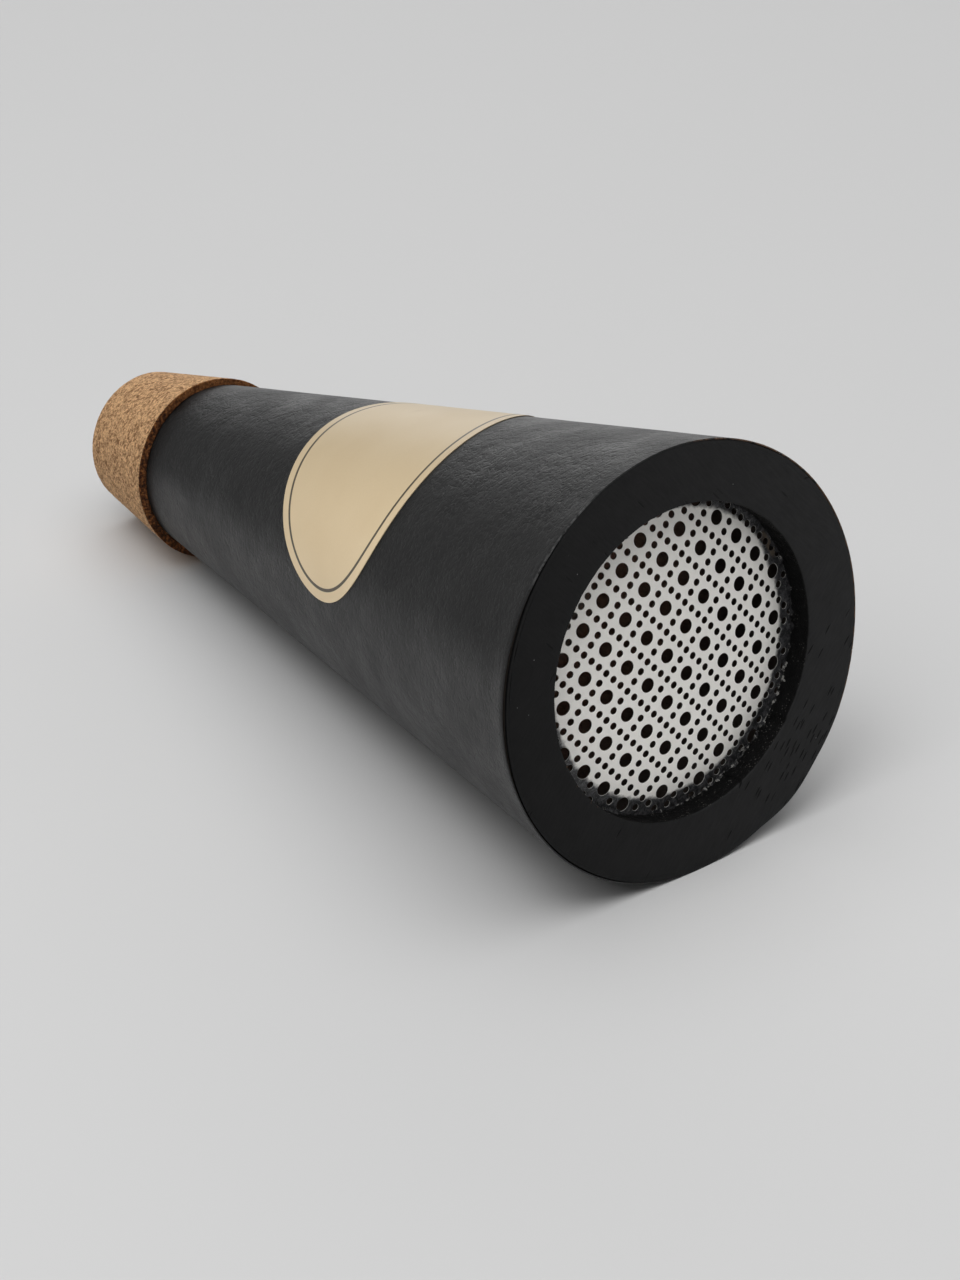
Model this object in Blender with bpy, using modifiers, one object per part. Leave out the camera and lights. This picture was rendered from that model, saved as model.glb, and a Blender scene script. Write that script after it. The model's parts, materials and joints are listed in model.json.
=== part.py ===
"""Trumpet mute: a long fibreboard cone in black leatherette, lying on its side.

The big end holds a wooden ring with a domed, perforated metal grille behind it.
A full collar of cork round the small end seals the mute in the trumpet's bell.

The mute is modelled along its own axis: local Z points out of the big end, whose rim
lies in the plane z = 0, and local X points at the floor. An empty then lays it down,
so that it rests on its rim and on the front edge of its cork.
"""

import bpy
import bmesh
from math import asin, atan, atan2, cos, hypot, pi, radians, sin
from mathutils import Matrix, Vector

MM = 0.001

# Cone, measured over its leatherette
LENGTH = 200.5 * MM
RIM_RADIUS = 46.4 * MM
TIP_RADIUS = 15.4 * MM
COVER_WALL = 0.3 * MM
SHELL_WALL = 0.8 * MM

# Wooden ring in the big end
RING_THICKNESS = 5.5 * MM
RING_BORE_RADIUS = 33.5 * MM
RING_EASE = 0.4 * MM

# Perforated grille behind the ring
GRILLE_SHEET = 0.5 * MM
GRILLE_FLANGE = 4.0 * MM
DOME_RISE = 2.85 * MM
HOLE_PITCH = 7.144 * MM
LARGE_HOLE_RADIUS = 1.55 * MM
SMALL_HOLE_RADIUS = 0.76 * MM
PATTERN_TURN = radians(40.9)
PATTERN_SHIFT = (-1.66 * MM, -2.26 * MM)
HOLE_MARGIN = 0.5 * MM
LARGE_HOLE_SIDES = 8
SMALL_HOLE_SIDES = 6

# Bead of glue round the grille's edge
BEAD_LEG = 2.0 * MM

# Cork collar
CORK_LENGTH = 30.2 * MM
CORK_FRONT_RADIUS = 22.3 * MM
CORK_REAR_RADIUS = 16.8 * MM
CORK_REAR_ROUND = 0.7 * MM

# Felt sleeve in the narrow end
FELT_WALL = 3.0 * MM
FELT_LENGTH = 70.0 * MM
FELT_INSET = 3.0 * MM

# Oval label, measured flat
LABEL_WIDTH = 76.2 * MM
LABEL_HEIGHT = 52.0 * MM
LABEL_SHEET = 0.2 * MM
LABEL_FROM_RIM = 81.2 * MM
LABEL_BEARING = radians(-158.4)
LABEL_TURN = radians(4.7)

# Seams of what is wrapped: where each lies round the axis, and how far it is skived
SEAM_GAP = 0.3 * MM
COVER_SEAM = radians(75.0)
SHELL_SEAM = radians(130.0)
CORK_SEAM = radians(50.0)
SHELL_SKIVE = radians(50.0)
CORK_SKIVE = radians(60.0)

# Glued faces keep this much room between them
SEAT = 0.3 * MM

# Flats round each turned piece: one of them faces the floor
SEGMENTS = 60
HALF_FLAT = pi / SEGMENTS
LABEL_STRIPS = 32

HALF_ANGLE = atan((RIM_RADIUS - TIP_RADIUS) / LENGTH)
MERGE = 0.000001


def wall_radius(z, depth=0.0):
    """Radius at height z of the surface that lies depth under the cover's outside."""
    taper = (RIM_RADIUS - TIP_RADIUS) / LENGTH
    return RIM_RADIUS + taper * z - depth / cos(HALF_ANGLE)


def eased(before, corner, after, size, steps=1):
    """Points of a rounded corner; one step is a plain chamfer."""
    start = corner + (before - corner).normalized() * size
    end = corner + (after - corner).normalized() * size
    points = []
    for step in range(steps + 1):
        t = step / steps
        points.append(start * (1 - t) ** 2 + corner * (2 * t * (1 - t)) + end * t ** 2)
    return points


SHELL_DEPTH = COVER_WALL + SEAT
SHELL_INSIDE = SHELL_DEPTH + SHELL_WALL
RING_DEPTH = SHELL_INSIDE + SEAT
GRILLE_SEAT = -RING_THICKNESS - SEAT
GRILLE_RADIUS = RING_BORE_RADIUS + GRILLE_FLANGE
CORK_FRONT = -LENGTH + CORK_LENGTH


def wall_profile(front, rear, depth, thickness):
    """Section of a wall that follows the cone: outer side down, inner side up."""
    return [
        Vector((wall_radius(front, depth), front)),
        Vector((wall_radius(rear, depth), rear)),
        Vector((wall_radius(rear, depth + thickness), rear)),
        Vector((wall_radius(front, depth + thickness), front)),
    ]


def ring_profile():
    back = -RING_THICKNESS
    front_outer = Vector((wall_radius(0, RING_DEPTH), 0))
    back_outer = Vector((wall_radius(back, RING_DEPTH), back))
    back_bore = Vector((RING_BORE_RADIUS, back))
    front_bore = Vector((RING_BORE_RADIUS, 0))
    return (
        eased(front_bore, front_outer, back_outer, RING_EASE)
        + [back_outer, back_bore]
        + eased(back_bore, front_bore, front_outer, RING_EASE)
    )


def cork_profile():
    front_outer = Vector((CORK_FRONT_RADIUS, CORK_FRONT))
    rear_outer = Vector((CORK_REAR_RADIUS, -LENGTH))
    rear_inner = Vector((wall_radius(-LENGTH) + SEAT, -LENGTH))
    front_inner = Vector((wall_radius(CORK_FRONT) + SEAT, CORK_FRONT))
    return (
        [front_outer]
        + eased(front_outer, rear_outer, rear_inner, CORK_REAR_ROUND, steps=2)
        + [rear_inner, front_inner]
    )


def bead_profile():
    """A fillet of glue in the corner between the ring's back and the grille's edge."""
    corner_radius = GRILLE_RADIUS + SEAT
    top = -RING_THICKNESS - SEAT
    return [
        Vector((corner_radius + BEAD_LEG, top)),
        Vector((corner_radius, top - BEAD_LEG)),
        Vector((corner_radius, top)),
    ]


PROFILES = {
    "cone_cover": wall_profile(0, -LENGTH, 0, COVER_WALL),
    "cone_shell": wall_profile(0, -LENGTH, SHELL_DEPTH, SHELL_WALL),
    "end_ring": ring_profile(),
    "grille_adhesive": bead_profile(),
    "cork_collar": cork_profile(),
    "damping_sleeve": wall_profile(
        -LENGTH + FELT_INSET + FELT_LENGTH, -LENGTH + FELT_INSET, RING_DEPTH, FELT_WALL
    ),
}


def resting_tilt():
    """Slope of the axis when the rim and the next widest edge both touch the floor."""
    return min(
        atan2((RIM_RADIUS - radius) * cos(HALF_FLAT), -z)
        for profile in PROFILES.values()
        for radius, z in profile
        if z < -LENGTH / 2
    )


def resting_place(tilt):
    """Where the rim's centre goes, so that the origin is under the middle of the mute."""
    flat = cos(HALF_FLAT)
    corners = [corner for profile in PROFILES.values() for corner in profile]
    ahead = max(z * cos(tilt) + radius * flat * sin(tilt) for radius, z in corners)
    behind = min(z * cos(tilt) - radius * flat * sin(tilt) for radius, z in corners)
    return Vector((-(ahead + behind) / 2, 0, RIM_RADIUS * flat * cos(tilt)))


def clear_scene():
    for old in list(bpy.data.objects):
        bpy.data.objects.remove(old, do_unlink=True)


def new_collection(name):
    collection = bpy.data.collections.new(name)
    bpy.context.scene.collection.children.link(collection)
    return collection


def finish(name, colour, roughness, metallic=0.0):
    material = bpy.data.materials.new(name)
    material.use_nodes = True
    shader = material.node_tree.nodes["Principled BSDF"]
    shader.inputs["Base Color"].default_value = (*colour, 1.0)
    shader.inputs["Roughness"].default_value = roughness
    shader.inputs["Metallic"].default_value = metallic
    return material


def add_object(name, mesh, material, collection, parent):
    mesh.materials.append(material)
    item = bpy.data.objects.new(name, mesh)
    collection.objects.link(item)
    item.parent = parent
    return item


def turned(name, material, collection, parent):
    """Spin a section round the axis, with a flat, not a corner, towards the floor."""
    mesh = bpy.data.meshes.new(name)
    section = bmesh.new()
    points = [section.verts.new((radius, 0, z)) for radius, z in PROFILES[name]]
    for first, second in zip(points, points[1:] + points[:1]):
        section.edges.new((first, second))
    section.to_mesh(mesh)
    section.free()
    item = add_object(name, mesh, material, collection, parent)
    item.rotation_euler.z = HALF_FLAT
    screw = item.modifiers.new("Turn", "SCREW")
    screw.axis = "Z"
    screw.steps = SEGMENTS
    screw.render_steps = SEGMENTS
    screw.use_merge_vertices = True
    screw.merge_threshold = MERGE
    return item


def cut_seam(item, bearing, skive, cutters, parent):
    """Part a wrapped wall along its length, on a cut leaned over by the skive."""
    front_outer, rear_outer, rear_inner, front_inner = seam_corners(PROFILES[item.name])
    front = (front_outer + front_inner) / 2
    rear = (rear_outer + rear_inner) / 2
    wall = (front_outer - front_inner).length
    run = front - rear
    depth = 3 * wall / cos(skive)
    bpy.ops.mesh.primitive_cube_add(size=1)
    cutter = bpy.context.active_object
    cutter.name = item.name + "_seam_cutter"
    cutter.data.transform(Matrix.Diagonal((depth, SEAM_GAP, run.length * 1.1, 1)))
    cutter.data.transform(Matrix.Rotation(skive, 4, "Z"))
    cutter.data.transform(Matrix.Rotation(asin(run.x / run.length), 4, "Y"))
    middle = (front + rear) / 2
    cutter.data.transform(Matrix.Translation((middle.x, 0, middle.y)))
    cutter.rotation_euler.z = bearing
    for collection in list(cutter.users_collection):
        collection.objects.unlink(cutter)
    cutters.objects.link(cutter)
    cutter.parent = parent
    cutter.hide_render = True
    cutter.display_type = "WIRE"
    boolean = item.modifiers.new("Seam", "BOOLEAN")
    boolean.operation = "DIFFERENCE"
    boolean.solver = "EXACT"
    boolean.object = cutter


def seam_corners(profile):
    """The four corners of a wall's section: front and rear, outside and inside."""
    front = max(z for _, z in profile)
    rear = min(z for _, z in profile)
    front_radii = [radius for radius, z in profile if z == front]
    rear_radii = [radius for radius, z in profile if z < (front + rear) / 2]
    return (
        Vector((max(front_radii), front)),
        Vector((max(rear_radii), rear)),
        Vector((min(rear_radii), rear)),
        Vector((min(front_radii), front)),
    )


def hole_pattern():
    """Holes of the sheet: a large one at each corner of a square cell, and five small
    ones in a cross at its middle, a third of the pitch apart. Only holes that clear the
    ring's bore are punched."""
    third = 1 / 3
    small = [(0.5, 0.5), (0.5 - third, 0.5), (0.5 + third, 0.5), (0.5, 0.5 - third), (0.5, 0.5 + third)]
    cell = [(0, 0, LARGE_HOLE_RADIUS, LARGE_HOLE_SIDES)]
    cell += [(across, along, SMALL_HOLE_RADIUS, SMALL_HOLE_SIDES) for across, along in small]
    reach = int(RING_BORE_RADIUS / HOLE_PITCH) + 2
    holes = []
    for row in range(-reach, reach + 1):
        for column in range(-reach, reach + 1):
            for across, along, radius, sides in cell:
                offset = Matrix.Rotation(PATTERN_TURN, 2) @ Vector((column + across, row + along))
                centre = offset * HOLE_PITCH + Vector(PATTERN_SHIFT)
                if centre.length + radius + HOLE_MARGIN < RING_BORE_RADIUS:
                    holes.append((centre, radius, sides))
    return holes


def add_loop(curve, centre, radius, sides, turn=0.0):
    loop = curve.splines.new("POLY")
    loop.points.add(sides - 1)
    for index, point in enumerate(loop.points):
        angle = turn + 2 * pi * index / sides
        x = centre[0] + radius * cos(angle)
        y = centre[1] + radius * sin(angle)
        point.co = (x, y, 0, 1)
    loop.use_cyclic_u = True


def dome_height(radius):
    """Height of the dome over its flange; nothing outside the ring's bore."""
    return DOME_RISE * max(0.0, 1 - (radius / RING_BORE_RADIUS) ** 2)


def grille(material, collection, parent):
    """Punch the flat disc, press its middle into a dome and add the flange round it."""
    curve = bpy.data.curves.new("grille_outline", "CURVE")
    curve.dimensions = "2D"
    curve.fill_mode = "BOTH"
    curve.extrude = GRILLE_SHEET / 2
    add_loop(curve, (0, 0), RING_BORE_RADIUS, SEGMENTS, HALF_FLAT)
    for centre, radius, sides in hole_pattern():
        add_loop(curve, centre, radius, sides, PATTERN_TURN)
    outline = bpy.data.objects.new("grille_outline", curve)
    collection.objects.link(outline)
    view_layer = bpy.context.view_layer
    view_layer.update()
    flat = outline.evaluated_get(bpy.context.evaluated_depsgraph_get())
    mesh = bpy.data.meshes.new_from_object(flat)
    mesh.name = "grille_plate"
    bpy.data.objects.remove(outline)
    bpy.data.curves.remove(curve)

    plate = bmesh.new()
    plate.from_mesh(mesh)
    bmesh.ops.remove_doubles(plate, verts=plate.verts, dist=MERGE)
    edge_faces = [
        face
        for face in plate.faces
        if all(hypot(vert.co.x, vert.co.y) > RING_BORE_RADIUS * 0.999 for vert in face.verts)
    ]
    ring = bmesh.ops.extrude_face_region(plate, geom=edge_faces)["geom"]
    bmesh.ops.delete(plate, geom=edge_faces, context="FACES_ONLY")
    grown = GRILLE_RADIUS / RING_BORE_RADIUS
    for vert in ring:
        if isinstance(vert, bmesh.types.BMVert):
            vert.co.x *= grown
            vert.co.y *= grown
    for vert in plate.verts:
        vert.co.z += GRILLE_SEAT - GRILLE_SHEET / 2 + dome_height(hypot(vert.co.x, vert.co.y))
    bmesh.ops.recalc_face_normals(plate, faces=plate.faces)
    plate.to_mesh(mesh)
    plate.free()
    return add_object("grille_plate", mesh, material, collection, parent)


def label(material, collection, parent):
    """An ellipse cut flat and wrapped on the cone, in strips that follow its straight lines."""
    sheet = bmesh.new()
    bmesh.ops.create_grid(sheet, x_segments=LABEL_STRIPS, y_segments=2, size=1)
    unrolled = RIM_RADIUS / sin(HALF_ANGLE)
    lift = SEAT / cos(HALF_ANGLE)
    middle = unrolled - LABEL_FROM_RIM / cos(HALF_ANGLE)
    for vert in sheet.verts:
        sweep = vert.co.x * pi / 2
        across = sin(sweep) * LABEL_WIDTH / 2
        along = cos(sweep) * vert.co.y * LABEL_HEIGHT / 2
        flat = Matrix.Rotation(LABEL_TURN, 2) @ Vector((across, along))
        from_apex = hypot(flat.x, middle + flat.y)
        bearing = LABEL_BEARING + atan2(flat.x, middle + flat.y) / sin(HALF_ANGLE)
        z = (from_apex - unrolled) * cos(HALF_ANGLE)
        radius = wall_radius(z) + lift
        vert.co = (radius * cos(bearing), radius * sin(bearing), z)
    bmesh.ops.remove_doubles(sheet, verts=sheet.verts, dist=MERGE)
    bmesh.ops.recalc_face_normals(sheet, faces=sheet.faces)
    mesh = bpy.data.meshes.new("label_oval")
    sheet.to_mesh(mesh)
    sheet.free()
    item = add_object("label_oval", mesh, material, collection, parent)
    solidify = item.modifiers.new("Sheet", "SOLIDIFY")
    solidify.thickness = LABEL_SHEET
    solidify.offset = 1.0
    return item


def build():
    clear_scene()
    parts = new_collection("trumpet_mute")
    cutters = new_collection("cutters")

    tilt = resting_tilt()
    axis = bpy.data.objects.new("mute_axis", None)
    axis.location = resting_place(tilt)
    axis.rotation_euler.y = pi / 2 - tilt
    parts.objects.link(axis)

    leatherette = finish("leatherette", (0.035, 0.034, 0.034), 0.55)
    fibreboard = finish("fibreboard", (0.11, 0.07, 0.04), 0.85)
    stained_wood = finish("stained_wood", (0.017, 0.017, 0.018), 0.6)
    aluminium = finish("aluminium", (0.75, 0.75, 0.74), 0.35, 1.0)
    glue = finish("black_glue", (0.01, 0.01, 0.01), 0.5)
    cork = finish("cork", (0.47, 0.27, 0.13), 0.85)
    felt = finish("felt", (0.3, 0.27, 0.23), 0.95)
    paper = finish("label_paper", (0.62, 0.5, 0.34), 0.5)

    cover = turned("cone_cover", leatherette, parts, axis)
    shell = turned("cone_shell", fibreboard, parts, axis)
    turned("end_ring", stained_wood, parts, axis)
    grille(aluminium, parts, axis)
    turned("grille_adhesive", glue, parts, axis)
    collar = turned("cork_collar", cork, parts, axis)
    turned("damping_sleeve", felt, parts, axis)
    label(paper, parts, axis)

    cut_seam(cover, COVER_SEAM, 0.0, cutters, axis)
    cut_seam(shell, SHELL_SEAM, SHELL_SKIVE, cutters, axis)
    cut_seam(collar, CORK_SEAM, CORK_SKIVE, cutters, axis)

    for item in parts.objects:
        if item.type == "MESH":
            item.data.shade_smooth()
            item.data.set_sharp_from_angle(angle=radians(30))


build()
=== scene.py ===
"""Trumpet mute on a pale floor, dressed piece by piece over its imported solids.

Each piece is modelled along the mute's own axis: local Z points out of the big end,
whose rim lies in the plane z = 0, and local X points at the floor. add_piece() then
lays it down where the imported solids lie.
"""

import json
from math import atan, atan2, cos, degrees, hypot, pi, radians, sin, tan

import bmesh
import bpy
from mathutils import Matrix, Vector, noise


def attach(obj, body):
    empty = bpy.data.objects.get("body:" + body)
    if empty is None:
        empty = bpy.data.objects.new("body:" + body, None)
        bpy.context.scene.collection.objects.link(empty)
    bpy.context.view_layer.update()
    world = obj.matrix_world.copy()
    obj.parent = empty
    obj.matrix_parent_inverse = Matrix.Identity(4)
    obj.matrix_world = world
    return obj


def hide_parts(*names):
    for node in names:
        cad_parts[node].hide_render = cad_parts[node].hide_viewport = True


bl_info = {
    "name": "Trumpet mute",
    "version": (1, 0, 0),
    "blender": (4, 5, 0),
    "location": "View3D > Sidebar > Mute",
    "description": "Builds a leatherette and cork trumpet mute over its packed solids",
    "category": "Object",
}

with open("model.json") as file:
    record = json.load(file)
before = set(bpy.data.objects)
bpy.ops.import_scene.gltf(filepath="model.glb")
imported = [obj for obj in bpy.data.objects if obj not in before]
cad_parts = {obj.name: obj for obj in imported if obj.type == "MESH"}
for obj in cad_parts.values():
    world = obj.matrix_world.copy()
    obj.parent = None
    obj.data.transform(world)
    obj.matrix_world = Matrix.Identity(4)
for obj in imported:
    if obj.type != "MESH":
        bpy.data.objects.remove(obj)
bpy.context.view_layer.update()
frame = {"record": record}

MM = 0.001
TURN = 2 * pi
BODY = "root"

# The mute lies as its packed mount says: the face of its ring gives the axis
RING_FACE = next(m for m in frame["record"]["mounts"] if m["name"] == "big_end_face")
AXIS = Vector(RING_FACE["axis"])
RIM_CENTRE = Vector((RING_FACE["pos_m"][0], 0, RING_FACE["pos_m"][2]))
AXIS_TURN = atan2(AXIS.x, AXIS.z)
LAID_DOWN = Matrix.Translation(RIM_CENTRE) @ Matrix.Rotation(AXIS_TURN, 4, "Y")


# Sizes and colours


def length(name, millimetres, description):
    return bpy.props.FloatProperty(
        name=name,
        description=description,
        default=millimetres * MM,
        precision=5,
        subtype="DISTANCE",
        unit="LENGTH",
    )


def angle(name, degrees, description):
    return bpy.props.FloatProperty(
        name=name,
        description=description,
        default=radians(degrees),
        subtype="ANGLE",
        unit="ROTATION",
    )


def colour(name, value, description):
    return bpy.props.FloatVectorProperty(
        name=name,
        description=description,
        default=value,
        min=0.0,
        max=1.0,
        size=3,
        subtype="COLOR",
    )


class ConeSizes(bpy.types.PropertyGroup):
    length: length("Length", 200.5, "Along the axis, from the rim to the tip")
    rim: length("Rim radius", 46.4, "Over the cover, at the big end")
    tip: length("Tip radius", 15.4, "Over the cover, at the small end")
    cover: length("Cover", 0.3, "Thickness of the leatherette")
    board: length("Board", 0.8, "Thickness of the fibreboard")
    glue: length("Glue line", 0.3, "Room between the cover and the board")
    cover_seam: angle("Cover seam", 75, "Where the cover's edges meet, round from the floor")
    board_seam: angle("Board seam", 130, "Where the board's ends meet")
    skive: angle("Skive", 50, "Lean of the cut through the board")


class RingSizes(bpy.types.PropertyGroup):
    thickness: length("Thickness", 5.5, "Along the axis")
    bore: length("Bore radius", 33.5, "Of the opening in front of the grille")
    ease: length("Eased edge", 0.55, "Rounding of the ring's inner edge")
    roughness: length("Bore roughness", 0.22, "How far the bore's wall wanders")
    grain: angle("Grain", 41, "Lean of the wood's grain on the face")
    seam: length("Seam", 12, "Above the axis, where its two boards meet with mirrored grain")


class GrilleSizes(bpy.types.PropertyGroup):
    sheet: length("Sheet", 0.32, "Thickness of the aluminium")
    flange: length("Flange", 4.0, "How far the sheet reaches behind the ring")
    rise: length("Dome", 2.85, "How far the middle bulges")
    pitch: length("Pitch", 7.144, "From one large hole to the next")
    large: length("Large hole radius", 1.55, "Holes at the corners of each cell")
    small: length("Small hole radius", 0.76, "Holes in the cross at each cell's middle")
    turn: angle("Pattern turn", 40.9, "Lean of the rows of holes")
    shift_down: length("Pattern shift down", -1.66, "From the axis towards the floor")
    shift_side: length("Pattern shift sideways", -2.26, "From the axis along Y")


class CorkSizes(bpy.types.PropertyGroup):
    length: length("Length", 30.2, "Along the axis, from the tip")
    front: length("Front radius", 22.3, "At the collar's wide edge")
    rear: length("Rear radius", 16.8, "At the tip")
    rounding: length("Rear rounding", 0.4, "Of the outer edge at the tip")
    seam: angle("Seam", 50, "Where the strip's ends meet")
    skive: angle("Skive", 60, "Lean of the cut through the strip")
    thinner: length("Thinner side", 0.85, "How much less cork the far side's front edge has")


class FeltSizes(bpy.types.PropertyGroup):
    length: length("Length", 70, "Along the axis")
    wall: length("Wall", 3, "Thickness of the felt")
    inset: length("Inset", 3, "From the tip")


class LabelSizes(bpy.types.PropertyGroup):
    width: length("Width", 76.2, "Of the flat oval")
    height: length("Height", 52.0, "Of the flat oval")
    sheet: length("Paper", 0.16, "Thickness")
    from_rim: length("From the rim", 81.2, "To the oval's middle, along the axis")
    bearing: angle("Bearing", -158.4, "Where its middle lies round the axis")
    turn: angle("Turn", 4.7, "How far its long side leans")
    border: length("Border", 2.6, "From the oval's edge to the printed line")
    line: length("Line", 0.72, "Width of the printed line")


class MuteColours(bpy.types.PropertyGroup):
    leatherette: colour("Leatherette", (0.0080, 0.0080, 0.0082), "Black cover")
    stain: colour("Stain", (0.0125, 0.0125, 0.0128), "Black stain on the wood")
    wood: colour("Bare wood", (0.16, 0.085, 0.045), "Where the stain has worn off")
    board: colour("Fibreboard", (0.72, 0.47, 0.36), "Brown board of the cone")
    aluminium: colour("Aluminium", (0.94, 0.92, 0.872), "Sheet of the grille")
    glue: colour("Glue", (0.006, 0.006, 0.007), "Black glue")
    cork_light: colour("Light cork", (0.76, 0.468, 0.242), "Palest granules")
    cork: colour("Cork", (0.60, 0.357, 0.175), "Most granules")
    cork_dark: colour("Dark cork", (0.23, 0.11, 0.042), "Bark between the granules")
    felt: colour("Felt", (0.24, 0.215, 0.18), "Sleeve in the narrow end")
    paper: colour("Label paper", (0.65, 0.515, 0.325), "Cream")
    ink: colour("Ink", (0.010, 0.008, 0.006), "Line round the label")
    floor: colour("Floor", (0.63, 0.63, 0.63), "Pale floor and background")


SETTINGS = {
    "mute_cone": ConeSizes,
    "mute_ring": RingSizes,
    "mute_grille": GrilleSizes,
    "mute_cork": CorkSizes,
    "mute_felt": FeltSizes,
    "mute_label": LabelSizes,
    "mute_colours": MuteColours,
}


# Procedural materials


class Wire:
    """A socket of a finish; arithmetic on it adds Math nodes."""

    def __init__(self, finish, socket):
        self.finish = finish
        self.socket = socket

    def maths(self, operation, *terms):
        inputs = {index: term for index, term in enumerate(terms)}
        return self.finish.node("Math", inputs, operation=operation)

    def __add__(self, other):
        return self.maths("ADD", self, other)

    def __sub__(self, other):
        return self.maths("SUBTRACT", self, other)

    def __rsub__(self, other):
        return self.maths("SUBTRACT", other, self)

    def __mul__(self, other):
        return self.maths("MULTIPLY", self, other)

    def __truediv__(self, other):
        return self.maths("DIVIDE", self, other)

    def __pow__(self, other):
        return self.maths("POWER", self, other)

    def __gt__(self, other):
        return self.maths("GREATER_THAN", self, other)

    def __abs__(self):
        return self.maths("ABSOLUTE", self)

    def root(self):
        return self.maths("SQRT", self)

    def rise(self, low, high):
        """0 below low, 1 above high, and a smooth step between them; falls if low > high."""
        limits = {"Value": self, "From Min": low, "From Max": high}
        return self.finish.node("MapRange", limits, interpolation_type="SMOOTHSTEP")

    def spread(self, low, high):
        """A value from 0 to 1 spread evenly from low to high."""
        return self * (high - low) + low


class Finish:
    """One material; its constants are set on the shader's own sockets."""

    def __init__(self, name, **constants):
        self.material = bpy.data.materials.new(name)
        self.material.use_nodes = True
        self.tree = self.material.node_tree
        self.shader = self.tree.nodes["Principled BSDF"]
        self.set(**constants)

    def feed(self, socket, value):
        if isinstance(value, Wire):
            self.tree.links.new(value.socket, socket)
        elif socket.type == "RGBA":
            socket.default_value = (*value, 1.0)
        else:
            socket.default_value = value

    def node(self, kind, inputs=None, output=0, stops=(), **settings):
        """Add a node: its settings and ramp stops first, then its sockets."""
        node = self.tree.nodes.new("ShaderNode" + kind)
        for name, value in settings.items():
            setattr(node, name, value)
        for index, (position, shade) in enumerate(stops):
            elements = node.color_ramp.elements
            stop = elements[index] if index < 2 else elements.new(position)
            stop.position = position
            stop.color = (*shade, 1.0)
        for name, value in (inputs or {}).items():
            self.feed(node.inputs[name], value)
        if isinstance(output, tuple):
            return [Wire(self, node.outputs[name]) for name in output]
        return Wire(self, node.outputs[output])

    def mix(self, factor, first, second, blend="MIX"):
        """Two colours mixed, or blended in one of the Mix node's ways."""
        inputs = {0: factor, 6: first, 7: second}
        return self.node("Mix", inputs, output=2, data_type="RGBA", blend_type=blend)

    def vary(self, factor, colour, low, high):
        """A colour that the factor makes low to high times as bright."""
        return self.mix(factor, toned(colour, low), toned(colour, high))

    def times(self, shade, amount):
        """A colour times an amount that changes over the surface."""
        grey = self.node("CombineXYZ", {0: amount, 1: amount, 2: amount})
        return self.mix(1.0, shade, grey, blend="MULTIPLY")

    def along_mute(self):
        """Object coordinates turned to the mute's own axis."""
        place = {
            "Vector": self.node("TexCoord", output="Object"),
            "Location": RIM_CENTRE,
            "Rotation": (0, AXIS_TURN, 0),
        }
        return self.node("Mapping", place, vector_type="TEXTURE")

    def facing(self, cosine_of):
        """How squarely the surface faces that way: 1 straight at it, 0 side on."""
        inputs = {0: self.node("NewGeometry", output="Normal"), 1: cosine_of}
        return self.node("VectorMath", inputs, output="Value", operation="DOT_PRODUCT")

    def split(self, vector):
        return self.node("SeparateXYZ", {"Vector": vector}, output=(0, 1, 2))

    def stretched(self, vector, extents, turn=0.0):
        """Coordinates counted in features of those extents in millimetres."""
        scale = [1 / (extent * MM) for extent in extents]
        turned = self.node("Mapping", {"Vector": vector, "Rotation": (0, 0, turn)})
        return self.node("Mapping", {"Vector": turned, "Scale": scale})

    def grain(self, vector, size, detail=2.0, roughness=0.5, distortion=0.0):
        """Soft noise with features of that size in millimetres."""
        inputs = {
            "Vector": vector,
            "Scale": 1 / (size * MM),
            "Detail": detail,
            "Roughness": roughness,
            "Distortion": distortion,
        }
        return self.node("TexNoise", inputs)

    def long_grain(self, vector, extents, turn=0.0, **looks):
        """Soft noise with features of those extents, along axes turned about the third."""
        return self.grain(self.stretched(vector, extents, turn), 1 / MM, **looks)

    def cells(self, vector, size, output="Distance", feature="F1"):
        """Cells of that size in millimetres."""
        inputs = {"Vector": vector, "Scale": 1 / (size * MM)}
        return self.node("TexVoronoi", inputs, output=output, feature=feature)

    def relief(self, height, depth, strength=1.0):
        """Bump that feeds the shader's normal; depth is in millimetres."""
        inputs = {"Height": height, "Distance": depth * MM, "Strength": strength}
        self.set(Normal=self.node("Bump", inputs))

    def set(self, **values):
        for name, value in values.items():
            self.feed(self.shader.inputs[name.replace("_", " ")], value)


class Place:
    """Where a point lies along the mute's own axes, and how far from its long axis."""

    def __init__(self, finish):
        self.finish = finish
        self.vector = finish.along_mute()
        self.down, self.side, self.ahead = finish.split(self.vector)
        self.radius = (self.down * self.down + self.side * self.side).root()

    def grain(self, size, **looks):
        return self.finish.grain(self.vector, size, **looks)

    def near(self, bearing, half_width, fade):
        """1 within half_width degrees of a bearing round the axis, faded off over fade."""
        across = self.down * cos(radians(bearing)) + self.side * sin(radians(bearing))
        cosine = across / self.radius
        return cosine.rise(cos(radians(half_width + fade)), cos(radians(half_width)))


def toned(colour, factor):
    return [part * factor for part in colour]


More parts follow.
